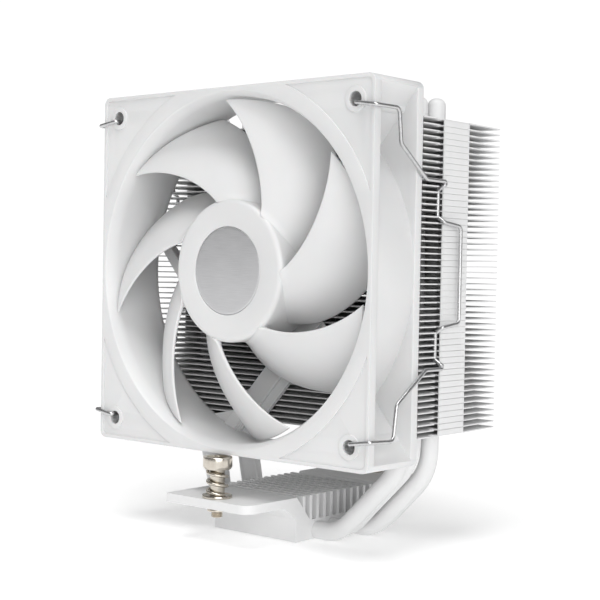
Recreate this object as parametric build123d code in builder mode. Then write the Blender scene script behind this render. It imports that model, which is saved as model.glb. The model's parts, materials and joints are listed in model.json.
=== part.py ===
from build123d import *
import os
from math import sin, cos, radians, tan, acos, pi

# White CPU tower cooler: a 120 mm axial fan clipped to a stack of thin fins on
# four U-shaped heat pipes, which are set in a finned base with two ears.
# Millimetres. +Z up, the fan blows along +Y, X is the width.
# The origin is the centre of the base's contact face.

os.makedirs("parts", exist_ok=True)

# ---------------------------------------------------------------- dimensions
# fan
FAN_Y = -39.0          # front face of the fan
FAN_Z = 88.9           # height of the fan's centre
FAN_W = 120.0          # square frame
FAN_D = 25.0           # frame depth
HOLE_SP = 105.0        # spacing of the fixing holes
HOLE_R = 2.3
BOSS_R = 3.95
CORNER_R = 2.5
FLANGE_T = 3.2
POST_R = 2.95
BARREL_R = 59.8        # outside of the round duct
BELL_R = 58.4          # duct at the front face
THROAT_R = 56.8        # duct at the blades
PANEL_INSET = 1.25     # border round the sunk corner panels
PANEL_R = 63.7
PANEL_D = 0.4
BASE_DISC_R = 21.0     # motor base at the back of the frame
STRUT_Y = 21.8         # front of the struts
STRUT_W = 4.2
# rotor
HUB_R = 23.5
HUB_Y0 = 0.7
HUB_Y1 = 19.5
HUB_IN_R = 21.8
BADGE_R = 14.4
TIP_R = 56.0
BLADES = 7
BLADE_T = 1.2
SHAFT_R = 1.5
# fin stack
FIN_N = 53
FIN_T = 0.4
FIN_X = 60.0
FIN_Y0 = -13.7
FIN_Y1 = 33.0
FIN_Z0 = 37.3          # underside of the lowest fin
FIN_PITCH = 1.936
TAB_Y0 = -2.5          # folded tabs that close the sides
TAB_Y1 = 12.0
LEFT_TAB_Y0 = 2.3      # the left side's tabs stand further back
LEFT_TAB_Y1 = 16.8
NOTCH_Y = -3.5         # notch for the fan clips
NOTCH_W = 2.4
NOTCH_DEPTH = 2.4
# heat pipes
PIPE_R = 3.0
PIPE_Z = 2.8           # axis of the pipes in the base
PIPE_TOP = 146.6
PIPE_BASE_Y = (-11.5, -3.8, 3.9, 11.6)
PIPE_RIGHT = ((48.7, -6.5), (47.4, 1.0), (49.6, 8.0), (44.7, 15.0))
PIPE_LEFT = ((-45.5, 1.2), (-52.0, 13.0), (-42.5, 18.0), (-50.0, 28.6))
PIPE_XR = (27.5, 25.4, 30.3, 27.4)     # where each pipe turns up beside the base
PIPE_XL = (25.5, 31.5, 24.5, 29.5)
PIPE_RISE = tan(radians(48))           # rise of the slanted runs
PIPE_BEND_LOW = 12.0
PIPE_BEND_HIGH = 18.0
# base
BASE_X = 18.4          # half width
BASE_Y = 22.7          # half length of the block
EAR_Y = 46.6           # half length over the ears
EAR_Z0 = 12.0
EAR_Z1 = 14.9
ROOT_Z = 6.7           # floor between the base's fins
BFIN_T = 1.35
BFIN_PITCH = 3.6
BFIN_N = 11
# spring screws
SCREW_Y = 41.0
SCREW_HEAD_R = 4.85
SCREW_HEAD_Z0 = 24.3
SCREW_HEAD_Z1 = 28.4
SHANK_R = 2.45
EAR_HOLE_R = 2.6
THREAD_R = 1.95
TIP_Z = 8.4
WASHER_R = 4.9
SPRING_R = 3.25        # mean radius of the coil
SPRING_WIRE_R = 0.55
# fan clips
WIRE_R = 0.65

# ------------------------------------------------------------------ datums
fan_front = Plane(origin=(0, FAN_Y, FAN_Z), x_dir=(1, 0, 0), z_dir=(0, -1, 0))
fan_prof = Plane(origin=(0, FAN_Y, FAN_Z), x_dir=(1, 0, 0), z_dir=(0, 0, 1))
fan_axis = Axis((0, FAN_Y, FAN_Z), (0, 1, 0))


def depth(y):
    """The plane across the fan's axis, y behind its front face."""
    return fan_front.offset(-y)


def rounded_path(points, radii):
    """Straight runs joined by arcs; call it inside a BuildLine."""
    pts = [Vector(*p) for p in points]
    last = pts[0]
    for i in range(1, len(pts) - 1):
        a = (pts[i - 1] - pts[i]).normalized()
        b = (pts[i + 1] - pts[i]).normalized()
        half = acos(max(-1.0, min(1.0, a.dot(b)))) / 2
        if half > pi / 2 - 0.004:
            Line(last, pts[i])
            last = pts[i]
            continue
        run = radii[i - 1] / tan(half)
        p0 = pts[i] + a * run
        p1 = pts[i] + b * run
        mid_dir = (a + b).normalized()
        mid = pts[i] + mid_dir * (radii[i - 1] / sin(half) - radii[i - 1])
        if (p0 - last).length > 1e-4:
            Line(last, p0)
        ThreePointArc(p0, mid, p1)
        last = p1
    Line(last, pts[-1])


# --------------------------------------------------------------- fan frame
with BuildPart() as fan_frame:
    with BuildSketch(fan_front):
        Circle(BARREL_R)
    extrude(amount=-FAN_D)
    with BuildSketch(fan_front, depth(FAN_D - FLANGE_T)):
        RectangleRounded(FAN_W, FAN_W, CORNER_R)
    extrude(amount=-FLANGE_T)
    # a wedge in each corner closes it, joins the flanges to the duct and holds the screw
    with BuildSketch(fan_front):
        with GridLocations(HOLE_SP, HOLE_SP, 2, 2):
            Circle(POST_R)
        for turn in (0, 90, 180, 270):
            with Locations(Location((0, 0, 0), (0, 0, turn))):
                Polygon(
                    (60.0, 57.8), (44.6, 38.7), (38.7, 44.6), (57.8, 60.0), (60.0, 60.0), align=None
                )
        RectangleRounded(FAN_W, FAN_W, CORNER_R, mode=Mode.INTERSECT)
    extrude(amount=-FAN_D)
    # flared mouth and duct
    with BuildSketch(fan_prof):
        with BuildLine():
            Polyline((0, -1), (BELL_R, -1), (BELL_R, 0))
            RadiusArc((BELL_R, 0), (THROAT_R, 5.0), -9.0)
            Polyline(
                (THROAT_R, 5.0), (THROAT_R, FAN_D - 2.5), (THROAT_R + 0.9, FAN_D),
                (THROAT_R + 0.9, FAN_D + 1), (0, FAN_D + 1), (0, -1),
            )
        make_face()
    revolve(axis=fan_axis, mode=Mode.SUBTRACT)
    # sunk corner panels round the posts
    with BuildSketch(fan_front):
        RectangleRounded(
            FAN_W - 2 * PANEL_INSET, FAN_W - 2 * PANEL_INSET, CORNER_R - PANEL_INSET + 0.5
        )
        Circle(PANEL_R, mode=Mode.SUBTRACT)
        with GridLocations(HOLE_SP, HOLE_SP, 2, 2):
            Circle(BOSS_R, mode=Mode.SUBTRACT)
    extrude(amount=-PANEL_D, mode=Mode.SUBTRACT)
    # motor base
    with BuildSketch(depth(21.0)):
        Circle(BASE_DISC_R)
    extrude(amount=-(FAN_D - 21.0))
    # three plain struts, each hooked in towards the motor base
    with BuildSketch(depth(STRUT_Y)):
        for turn in (0, -90, 180):
            with Locations(Location((0, 0, 0), (0, 0, turn))):
                SlotArc(
                    CenterArc((-21.3, 20.3), 30.4, 219.9, 70.0, mode=Mode.PRIVATE), STRUT_W
                )
                with Locations(Location((-50.9, 8.3, 0), (0, 0, 130))):
                    Rectangle(19.6, STRUT_W)
        Circle(BARREL_R - 1.5, mode=Mode.INTERSECT)
    extrude(amount=-(FAN_D - STRUT_Y))
    # the wide strut, which guides the cable
    with BuildSketch(depth(STRUT_Y)):
        with Locations(Location((0, 0, 0), (0, 0, 228))):
            with Locations((27.0, 24.3)):
                Rectangle(62.0, 7.2)
        Circle(BARREL_R - 1.5, mode=Mode.INTERSECT)
    extrude(amount=-(FAN_D - STRUT_Y))
    with BuildSketch(depth(23.2)):
        with Locations(Location((0, 0, 0), (0, 0, 228))):
            with Locations((28.0, 26.0)):
                Rectangle(62.0, 10.2)
        Polygon((-27.5, -51.0), (-17.0, -48.5), (-14.0, -53.5), (-22.0, -56.0), align=None)
        Circle(BARREL_R - 1.5, mode=Mode.INTERSECT)
    extrude(amount=-(FAN_D - 23.2))
    # shallow ribs on the wide strut
    with BuildSketch(depth(STRUT_Y - 0.35)):
        with Locations(Location((0, 0, 0), (0, 0, 228))):
            for k in range(4):
                with Locations((45.5, 25.4 + 0.8 * k)):
                    Rectangle(12.5, 0.38)
    extrude(amount=-0.6)
    # cable groove behind the wide strut
    with BuildSketch(depth(FAN_D - 1.6)):
        with Locations(Location((0, 0, 0), (0, 0, 228))):
            with Locations((31.5, 25.5)):
                Rectangle(62.0, 4.0)
    extrude(amount=-2.0, mode=Mode.SUBTRACT)
    # recess for the board in front, for the label behind
    with BuildSketch(depth(20.5)):
        Circle(BASE_DISC_R - 1.2)
    extrude(amount=-1.9, mode=Mode.SUBTRACT)
    with BuildSketch(depth(FAN_D - 0.5)):
        Circle(18.2)
    extrude(amount=-1.0, mode=Mode.SUBTRACT)
    # seat of the bearing tube
    with BuildSketch(depth(20.0)):
        Circle(5.22)
    extrude(amount=-3.6, mode=Mode.SUBTRACT)
    # fixing holes
    with BuildSketch(depth(-1.0)):
        with GridLocations(HOLE_SP, HOLE_SP, 2, 2):
            Circle(HOLE_R)
    extrude(amount=-(FAN_D + 2.0), mode=Mode.SUBTRACT)
fan_frame.part.label = "fan_frame"
export_step(fan_frame.part, "parts/fan_frame.step")

# ------------------------------------------------------------ fan impeller
def leading_angle(s):
    return 0.9433 + 0.9297 * s - 0.4113 * s * s + 0.167 * s ** 3


def trailing_angle(s):
    return radians(93.3 - 86.6 + 55.32 * s + 13.97 * s * s - 16.32 * s ** 3)


blade_grid = []
for i in range(11):
    r = 22.4 + (TIP_R + 0.8 - 22.4) * i / 10
    s = (r - HUB_R) / 32.5
    row = []
    for j in range(9):
        u = j / 8
        a = leading_angle(s) + (trailing_angle(s) - leading_angle(s)) * u
        y_lead = 1.9 + 0.2 * s + 0.2 * s * s
        y_trail = 14.4 + 5.0 * s
        y = y_lead + (y_trail - y_lead) * (0.42 * u + 0.58 * u * u)
        row.append(Vector(r * cos(a), FAN_Y + y, FAN_Z + r * sin(a)))
    blade_grid.append(row)

with BuildPart() as blade_tool:
    thicken(
        Face.make_surface_from_array_of_points(blade_grid, tol=0.02, min_deg=3, max_deg=5),
        amount=BLADE_T / 2, both=True,
    )
    with BuildSketch(depth(-2.0)):
        Circle(TIP_R)
        Circle(HUB_IN_R + 0.1, mode=Mode.SUBTRACT)
    extrude(amount=-30.0, mode=Mode.INTERSECT)

with BuildPart() as fan_impeller:
    with BuildSketch(fan_prof):
        with BuildLine():
            Polyline(
                (0, 1.4), (BADGE_R + 0.1, 1.4), (BADGE_R + 0.1, HUB_Y0), (HUB_R - 1.6, HUB_Y0)
            )
            ThreePointArc(
                (HUB_R - 1.6, HUB_Y0),
                (HUB_R - 1.6 + 1.6 * sin(pi / 4), HUB_Y0 + 1.6 - 1.6 * cos(pi / 4)),
                (HUB_R, HUB_Y0 + 1.6),
            )
            Polyline(
                (HUB_R, HUB_Y0 + 1.6), (HUB_R, HUB_Y1), (HUB_IN_R, HUB_Y1), (HUB_IN_R, 3.2),
                (HUB_IN_R - 0.8, 2.5), (3.4, 2.5), (3.4, 6.0), (SHAFT_R + 0.01, 6.0),
                (SHAFT_R + 0.01, 3.0), (0, 3.0), (0, 1.4),
            )
        make_face()
    revolve(axis=fan_axis)
    for k in range(BLADES):
        add(blade_tool.part.rotate(fan_axis, 360 / BLADES * k))
fan_impeller.part.label = "fan_impeller"
export_step(fan_impeller.part, "parts/fan_impeller.step")

with BuildPart() as hub_badge:
    with BuildSketch(depth(0.75)):
        Circle(BADGE_R)
    extrude(amount=-0.6)
    chamfer(hub_badge.faces().sort_by(Axis.Y)[0].edges(), 0.15)
hub_badge.part.label = "hub_badge"
export_step(hub_badge.part, "parts/hub_badge.step")


with BuildPart() as rotor_yoke:
    with BuildSketch(depth(3.4)):
        Circle(HUB_IN_R - 0.04)
        Circle(20.8, mode=Mode.SUBTRACT)
    extrude(amount=-15.6)
rotor_yoke.part.label = "rotor_yoke"
export_step(rotor_yoke.part, "parts/rotor_yoke.step")

with BuildPart() as rotor_magnet:
    with BuildSketch(depth(5.0)):
        Circle(20.76)
        Circle(18.9, mode=Mode.SUBTRACT)
    extrude(amount=-13.5)
rotor_magnet.part.label = "rotor_magnet"
export_step(rotor_magnet.part, "parts/rotor_magnet.step")

with BuildPart() as fan_shaft:
    with BuildSketch(depth(3.05)):
        Circle(SHAFT_R)
    extrude(amount=-(21.2 - 3.05))
    chamfer(fan_shaft.edges().filter_by(GeomType.CIRCLE), 0.25)
    # groove for the clip
    with BuildSketch(depth(19.0)):
        Circle(SHAFT_R + 1)
        Circle(1.15, mode=Mode.SUBTRACT)
    extrude(amount=-0.6, mode=Mode.SUBTRACT)
fan_shaft.part.label = "fan_shaft"
export_step(fan_shaft.part, "parts/fan_shaft.step")

with BuildPart() as shaft_clip:
    with BuildSketch(depth(19.05)):
        Circle(2.9)
        Circle(1.19, mode=Mode.SUBTRACT)
        with Locations((0, 2.2)):
            Rectangle(1.7, 3.4, mode=Mode.SUBTRACT)
    extrude(amount=-0.5)
shaft_clip.part.label = "shaft_clip"
export_step(shaft_clip.part, "parts/shaft_clip.step")

# ------------------------------------------------------------ fixed motor parts
with BuildPart() as bearing_tube:
    with BuildSketch(fan_prof):
        with BuildLine():
            Polyline(
                (4.0, 6.4), (5.2, 6.4), (5.2, 23.6), (0, 23.6), (0, 22.6), (4.0, 22.6),
                (4.0, 6.4),
            )
        make_face()
    revolve(axis=fan_axis)
bearing_tube.part.label = "bearing_tube"
export_step(bearing_tube.part, "parts/bearing_tube.step")

with BuildPart() as sleeve_bearing:
    with BuildSketch(depth(6.6)):
        Circle(3.97)
        Circle(SHAFT_R + 0.04, mode=Mode.SUBTRACT)
    extrude(amount=-11.8)
    chamfer(sleeve_bearing.edges().filter_by(GeomType.CIRCLE), 0.2)
sleeve_bearing.part.label = "sleeve_bearing"
export_step(sleeve_bearing.part, "parts/sleeve_bearing.step")

with BuildPart() as thrust_washer:
    with BuildSketch(depth(18.5)):
        Circle(3.6)
        Circle(SHAFT_R + 0.12, mode=Mode.SUBTRACT)
    extrude(amount=-0.35)
thrust_washer.part.label = "thrust_washer"
export_step(thrust_washer.part, "parts/thrust_washer.step")

with BuildPart() as stator_core:
    with BuildSketch(depth(8.5)):
        Circle(8.2)
        with PolarLocations(12.0, 4, start_angle=20):
            Rectangle(9.0, 4.4)
        for a in (20, 110, 200, 290):
            with BuildLine() as shoe:
                Polyline(
                    (15.6 * cos(radians(a - 34)), 15.6 * sin(radians(a - 34))),
                    (18.2 * cos(radians(a - 34)), 18.2 * sin(radians(a - 34))),
                )
                ThreePointArc(
                    (18.2 * cos(radians(a - 34)), 18.2 * sin(radians(a - 34))),
                    (18.2 * cos(radians(a)), 18.2 * sin(radians(a))),
                    (18.2 * cos(radians(a + 34)), 18.2 * sin(radians(a + 34))),
                )
                Polyline(
                    (18.2 * cos(radians(a + 34)), 18.2 * sin(radians(a + 34))),
                    (15.6 * cos(radians(a + 34)), 15.6 * sin(radians(a + 34))),
                )
                ThreePointArc(
                    (15.6 * cos(radians(a + 34)), 15.6 * sin(radians(a + 34))),
                    (15.6 * cos(radians(a)), 15.6 * sin(radians(a))),
                    (15.6 * cos(radians(a - 34)), 15.6 * sin(radians(a - 34))),
                )
            make_face()
        Circle(5.24, mode=Mode.SUBTRACT)
    extrude(amount=-6.0)
stator_core.part.label = "stator_core"
export_step(stator_core.part, "parts/stator_core.step")

with BuildPart() as stator_insulator:
    with BuildSketch(depth(7.45), depth(14.55)):
        Circle(8.4)
        with PolarLocations(12.0, 4, start_angle=20):
            Rectangle(8.0, 5.0)
        Circle(5.24, mode=Mode.SUBTRACT)
    extrude(amount=-1.0)
    # liners down the sides of the four arms join the two end caps
    with BuildSketch(depth(7.45)):
        with Locations(*[
            Location((0, 0, 0), (0, 0, a)) for a in (20, 110, 200, 290)
        ]):
            with Locations((12.0, 2.5), (12.0, -2.5)):
                Rectangle(6.4, 0.5)
    extrude(amount=-8.1)
stator_insulator.part.label = "stator_insulator"
export_step(stator_insulator.part, "parts/stator_insulator.step")

with BuildPart() as stator_windings:
    for a in (20, 110, 200, 290):
        with BuildSketch(
            Plane(
                origin=(9.6 * cos(radians(a)), FAN_Y + 11.5, FAN_Z + 9.6 * sin(radians(a))),
                x_dir=(0, 1, 0), z_dir=(cos(radians(a)), 0, sin(radians(a))),
            )
        ):
            RectangleRounded(12.2, 9.6, 1.8)
            RectangleRounded(8.3, 5.7, 0.15, mode=Mode.SUBTRACT)
        extrude(amount=4.9)
stator_windings.part.label = "stator_windings"
export_step(stator_windings.part, "parts/stator_windings.step")

with BuildPart() as motor_circuit_board:
    with BuildSketch(depth(21.1)):
        Circle(BASE_DISC_R - 1.5)
        Circle(5.5, mode=Mode.SUBTRACT)
    extrude(amount=-1.2)
    with BuildSketch(depth(20.3)):
        with Locations((11.0, 6.0)):
            Rectangle(4.0, 3.2)
        with Locations((-12.0, 3.0)):
            Rectangle(2.0, 3.2)
        with Locations((-3.0, 12.5)):
            Rectangle(3.2, 1.8)
        with Locations((5.0, -12.0)):
            Rectangle(4.2, 3.0)
    extrude(amount=-0.9)
motor_circuit_board.part.label = "motor_circuit_board"
export_step(motor_circuit_board.part, "parts/motor_circuit_board.step")

with BuildPart() as motor_label:
    with BuildSketch(depth(24.55)):
        Circle(18.0)
    extrude(amount=-0.3)
motor_label.part.label = "motor_label"
export_step(motor_label.part, "parts/motor_label.step")

# ------------------------------------------------------------------- fins
with BuildPart() as fin_tool:
    with BuildSketch(Plane.XY.offset(FIN_Z0)):
        with BuildLine():
            Polyline(
                (-FIN_X, FIN_Y0), (FIN_X, FIN_Y0), (FIN_X, TAB_Y1 + 0.6),
                (FIN_X - 1.5, FIN_Y1), (-FIN_X + 1.5, FIN_Y1), (-FIN_X, LEFT_TAB_Y1 + 0.6),
                (-FIN_X, FIN_Y0),
            )
        make_face()
        with Locations(
            (FIN_X - NOTCH_DEPTH / 2 + 0.5, NOTCH_Y), (-FIN_X + NOTCH_DEPTH / 2 - 0.5, NOTCH_Y)
        ):
            Rectangle(NOTCH_DEPTH + 1.0, NOTCH_W, mode=Mode.SUBTRACT)
        with Locations(*PIPE_RIGHT, *PIPE_LEFT):
            Circle(PIPE_R + 0.03, mode=Mode.SUBTRACT)
    extrude(amount=FIN_T)
    # folded side tabs, which space the fins and close the sides
    with BuildSketch(Plane.XY.offset(FIN_Z0)):
        with Locations(
            (FIN_X - FIN_T / 2, (TAB_Y0 + TAB_Y1) / 2),
            (-FIN_X + FIN_T / 2, (LEFT_TAB_Y0 + LEFT_TAB_Y1) / 2),
        ):
            Rectangle(FIN_T, TAB_Y1 - TAB_Y0)
    extrude(amount=FIN_PITCH - 0.02)

# the top fin has no tabs above it
with BuildPart() as top_fin_tool:
    add(fin_tool.part)
    with BuildSketch(Plane.XY.offset(FIN_Z0 + FIN_T)):
        Rectangle(140, 140)
    extrude(amount=5.0, mode=Mode.SUBTRACT)

with BuildPart() as fin_stack:
    for k in range(FIN_N - 1):
        with Locations((0, 0, FIN_PITCH * k)):
            add(fin_tool.part)
    with Locations((0, 0, FIN_PITCH * (FIN_N - 1))):
        add(top_fin_tool.part)
fin_stack.part.label = "fin_stack"
export_step(fin_stack.part, "parts/fin_stack.step")

# -------------------------------------------------------------- heat pipes
def right_knee(i):
    """Height at which pipe i's slanted run on the right would meet its upright run."""
    return PIPE_Z + (PIPE_RIGHT[i][0] - PIPE_XR[i]) * PIPE_RISE


def left_knee(i):
    return PIPE_Z + (-PIPE_LEFT[i][0] - PIPE_XL[i]) * PIPE_RISE


with BuildPart() as heat_pipe_1:
    with BuildLine():
        rounded_path(
            [(*PIPE_RIGHT[0], PIPE_TOP), (*PIPE_RIGHT[0], right_knee(0)),
             (PIPE_XR[0], PIPE_BASE_Y[0], PIPE_Z), (-PIPE_XL[0], PIPE_BASE_Y[0], PIPE_Z),
             (*PIPE_LEFT[0], left_knee(0)), (*PIPE_LEFT[0], PIPE_TOP)],
            [PIPE_BEND_HIGH, PIPE_BEND_LOW, PIPE_BEND_LOW, PIPE_BEND_HIGH],
        )
    with BuildSketch(Plane(origin=(PIPE_RIGHT[0][0], PIPE_RIGHT[0][1], PIPE_TOP), z_dir=(0, 0, -1))):
        Circle(PIPE_R)
    sweep()
    fillet(heat_pipe_1.edges().group_by(Axis.Z)[-1], 2.5)
    with BuildSketch(Plane.XY.offset(-6)):
        Rectangle(200, 200)
    extrude(amount=6.0, mode=Mode.SUBTRACT)
heat_pipe_1.part.label = "heat_pipe_1"
export_step(heat_pipe_1.part, "parts/heat_pipe_1.step")

with BuildPart() as heat_pipe_2:
    with BuildLine():
        rounded_path(
            [(*PIPE_RIGHT[1], PIPE_TOP), (*PIPE_RIGHT[1], right_knee(1)),
             (PIPE_XR[1], PIPE_BASE_Y[1], PIPE_Z), (-PIPE_XL[1], PIPE_BASE_Y[1], PIPE_Z),
             (*PIPE_LEFT[1], left_knee(1)), (*PIPE_LEFT[1], PIPE_TOP)],
            [PIPE_BEND_HIGH, PIPE_BEND_LOW, PIPE_BEND_LOW, PIPE_BEND_HIGH],
        )
    with BuildSketch(Plane(origin=(PIPE_RIGHT[1][0], PIPE_RIGHT[1][1], PIPE_TOP), z_dir=(0, 0, -1))):
        Circle(PIPE_R)
    sweep()
    fillet(heat_pipe_2.edges().group_by(Axis.Z)[-1], 2.5)
    with BuildSketch(Plane.XY.offset(-6)):
        Rectangle(200, 200)
    extrude(amount=6.0, mode=Mode.SUBTRACT)
heat_pipe_2.part.label = "heat_pipe_2"
export_step(heat_pipe_2.part, "parts/heat_pipe_2.step")

with BuildPart() as heat_pipe_3:
    with BuildLine():
        rounded_path(
            [(*PIPE_RIGHT[2], PIPE_TOP), (*PIPE_RIGHT[2], right_knee(2)),
             (PIPE_XR[2], PIPE_BASE_Y[2], PIPE_Z), (-PIPE_XL[2], PIPE_BASE_Y[2], PIPE_Z),
             (*PIPE_LEFT[2], left_knee(2)), (*PIPE_LEFT[2], PIPE_TOP)],
            [PIPE_BEND_HIGH, PIPE_BEND_LOW, PIPE_BEND_LOW, PIPE_BEND_HIGH],
        )
    with BuildSketch(Plane(origin=(PIPE_RIGHT[2][0], PIPE_RIGHT[2][1], PIPE_TOP), z_dir=(0, 0, -1))):
        Circle(PIPE_R)
    sweep()
    fillet(heat_pipe_3.edges().group_by(Axis.Z)[-1], 2.5)
    with BuildSketch(Plane.XY.offset(-6)):
        Rectangle(200, 200)
    extrude(amount=6.0, mode=Mode.SUBTRACT)
heat_pipe_3.part.label = "heat_pipe_3"
export_step(heat_pipe_3.part, "parts/heat_pipe_3.step")

with BuildPart() as heat_pipe_4:
    with BuildLine():
        rounded_path(
            [(*PIPE_RIGHT[3], PIPE_TOP), (*PIPE_RIGHT[3], right_knee(3)),
             (PIPE_XR[3], PIPE_BASE_Y[3], PIPE_Z), (-PIPE_XL[3], PIPE_BASE_Y[3], PIPE_Z),
             (*PIPE_LEFT[3], left_knee(3)), (*PIPE_LEFT[3], PIPE_TOP)],
            [PIPE_BEND_HIGH, PIPE_BEND_LOW, PIPE_BEND_LOW, PIPE_BEND_HIGH],
        )
    with BuildSketch(Plane(origin=(PIPE_RIGHT[3][0], PIPE_RIGHT[3][1], PIPE_TOP), z_dir=(0, 0, -1))):
        Circle(PIPE_R)
    sweep()
    fillet(heat_pipe_4.edges().group_by(Axis.Z)[-1], 2.5)
    with BuildSketch(Plane.XY.offset(-6)):
        Rectangle(200, 200)
    extrude(amount=6.0, mode=Mode.SUBTRACT)
heat_pipe_4.part.label = "heat_pipe_4"
export_step(heat_pipe_4.part, "parts/heat_pipe_4.step")

# -------------------------------------------------------------------- base
with BuildPart() as base_block:
    # one extruded profile: block, both ears with their braces
    with BuildSketch(Plane.YZ.offset(-BASE_X)):
        with BuildLine():
            Polyline(
                (-BASE_Y, 0), (BASE_Y, 0), (BASE_Y, 7.8), (BASE_Y + 6.3, EAR_Z0),
                (EAR_Y, EAR_Z0), (EAR_Y, EAR_Z1), (BASE_Y - 0.4, EAR_Z1),
                (BASE_Y - 7.2, ROOT_Z), (-BASE_Y + 7.2, ROOT_Z), (-BASE_Y + 0.4, EAR_Z1),
                (-EAR_Y, EAR_Z1), (-EAR_Y, EAR_Z0), (-BASE_Y - 6.3, EAR_Z0),
                (-BASE_Y, 7.8), (-BASE_Y, 0),
            )
        make_face()
    extrude(amount=2 * BASE_X)
    # straight fins on the block
    with BuildSketch(Plane.YZ.offset(-BASE_X)):
        with GridLocations(BFIN_PITCH, 1, BFIN_N, 1):
            with Locations((-0.6, (ROOT_Z - 1.0 + EAR_Z1) / 2)):
                Rectangle(BFIN_T, EAR_Z1 - ROOT_Z + 1.0)
    extrude(amount=2 * BASE_X)
    # each ear has one round corner and one nearly square
    front_edges = base_block.edges().filter_by(Axis.Z).group_by(Axis.Y)[0].sort_by(Axis.X)
    rear_edges = base_block.edges().filter_by(Axis.Z).group_by(Axis.Y)[-1].sort_by(Axis.X)
    fillet([front_edges[-1], rear_edges[0]], 4.5)
    front_edges = base_block.edges().filter_by(Axis.Z).group_by(Axis.Y)[0].sort_by(Axis.X)
    rear_edges = base_block.edges().filter_by(Axis.Z).group_by(Axis.Y)[-1].sort_by(Axis.X)
    fillet([front_edges[0], rear_edges[-1]], 1.0)
    # grooves for the pipes, open at the contact face
    with BuildSketch(Plane.YZ.offset(-BASE_X - 1)):
        with Locations(*[(y, PIPE_Z) for y in PIPE_BASE_Y]):
            Circle(PIPE_R + 0.03)
    extrude(amount=2 * BASE_X + 2, mode=Mode.SUBTRACT)
    # holes for the spring screws
    with BuildSketch(Plane.XY.offset(EAR_Z0 - 1)):
        with Locations((0, -SCREW_Y), (0, SCREW_Y)):
            Circle(EAR_HOLE_R)
    extrude(amount=5.0, mode=Mode.SUBTRACT)
base_block.part.label = "base_block"
export_step(base_block.part, "parts/base_block.step")

# ----------------------------------------------------------- spring screws
with BuildPart() as spring_screw_front:
    with BuildSketch(Plane.XZ.offset(SCREW_Y)):
        with BuildLine():
            Polyline(
                (0, TIP_Z), (THREAD_R - 0.3, TIP_Z), (THREAD_R, TIP_Z + 0.4),
                (THREAD_R, 11.6), (SHANK_R, 11.6), (SHANK_R, SCREW_HEAD_Z0),
                (SCREW_HEAD_R - 0.6, SCREW_HEAD_Z0), (SCREW_HEAD_R, SCREW_HEAD_Z0 + 0.9),
                (SCREW_HEAD_R, SCREW_HEAD_Z1 - 0.3), (SCREW_HEAD_R - 0.3, SCREW_HEAD_Z1),
                (3.5, SCREW_HEAD_Z1), (3.2, SCREW_HEAD_Z1 - 0.6), (0, SCREW_HEAD_Z1 - 0.6),
                (0, TIP_Z),
            )
        make_face()
    revolve(axis=Axis((0, -SCREW_Y, 0), (0, 0, 1)))
    # cross recess
    with BuildSketch(Plane.XY.offset(SCREW_HEAD_Z1 - 0.6)):
        with Locations((0, -SCREW_Y)):
            Rectangle(4.6, 1.1)
            Rectangle(1.1, 4.6)
    extrude(amount=-1.8, mode=Mode.SUBTRACT)
    # groove for the ring clip
    with BuildSketch(Plane.XY.offset(10.5)):
        with Locations((0, -SCREW_Y)):
            Circle(THREAD_R + 1)
            Circle(1.6, mode=Mode.SUBTRACT)
    extrude(amount=0.7, mode=Mode.SUBTRACT)
spring_screw_front.part.label = "spring_screw_front"
export_step(spring_screw_front.part, "parts/spring_screw_front.step")

with BuildPart() as spring_screw_rear:
    add(spring_screw_front.part.rotate(Axis.Z, 180))
spring_screw_rear.part.label = "spring_screw_rear"
export_step(spring_screw_rear.part, "parts/spring_screw_rear.step")

with BuildPart() as ring_clip_front:
    with BuildSketch(Plane.XY.offset(10.55)):
        with Locations((0, -SCREW_Y)):
            Circle(3.3)
            Circle(1.63, mode=Mode.SUBTRACT)
        with Locations((0, -SCREW_Y + 2.4)):
            Rectangle(2.2, 3.0, mode=Mode.SUBTRACT)
    extrude(amount=0.6)
ring_clip_front.part.label = "ring_clip_front"
export_step(ring_clip_front.part, "parts/ring_clip_front.step")

with BuildPart() as ring_clip_rear:
    add(ring_clip_front.part.rotate(Axis.Z, 180))
ring_clip_rear.part.label = "ring_clip_rear"
export_step(ring_clip_rear.part, "parts/ring_clip_rear.step")

with BuildPart() as washer_front:
    with BuildSketch(Plane.XZ.offset(SCREW_Y)):
        with BuildLine():
            Polyline(
                (2.65, EAR_Z1 + 0.01), (WASHER_R, EAR_Z1 + 0.01), (WASHER_R, EAR_Z1 + 0.95),
                (WASHER_R - 0.35, EAR_Z1 + 0.95), (WASHER_R - 0.6, EAR_Z1 + 0.5),
                (2.65, EAR_Z1 + 0.5), (2.65, EAR_Z1 + 0.01),
            )
        make_face()
    revolve(axis=Axis((0, -SCREW_Y, 0), (0, 0, 1)))
washer_front.part.label = "washer_front"
export_step(washer_front.part, "parts/washer_front.step")

with BuildPart() as washer_rear:
    add(washer_front.part.rotate(Axis.Z, 180))
washer_rear.part.label = "washer_rear"
export_step(washer_rear.part, "parts/washer_rear.step")

SPRING_Z0 = EAR_Z1 + 0.51 + SPRING_WIRE_R + 0.02
SPRING_Z1 = SCREW_HEAD_Z0 - SPRING_WIRE_R - 0.05
with BuildPart() as spring_front:
    with BuildLine() as coil:
        Helix(
            pitch=(SPRING_Z1 - SPRING_Z0) / 2.5, height=SPRING_Z1 - SPRING_Z0,
            radius=SPRING_R, center=(0, -SCREW_Y, SPRING_Z0), lefthand=True,
        )
    with BuildSketch(Plane(origin=coil.line @ 0, z_dir=coil.line % 0)):
        Circle(SPRING_WIRE_R)
    sweep(is_frenet=True)
spring_front.part.label = "spring_front"
export_step(spring_front.part, "parts/spring_front.step")

with BuildPart() as spring_rear:
    add(spring_front.part.rotate(Axis.Z, 180))
spring_rear.part.label = "spring_rear"
export_step(spring_rear.part, "parts/spring_rear.step")

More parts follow.
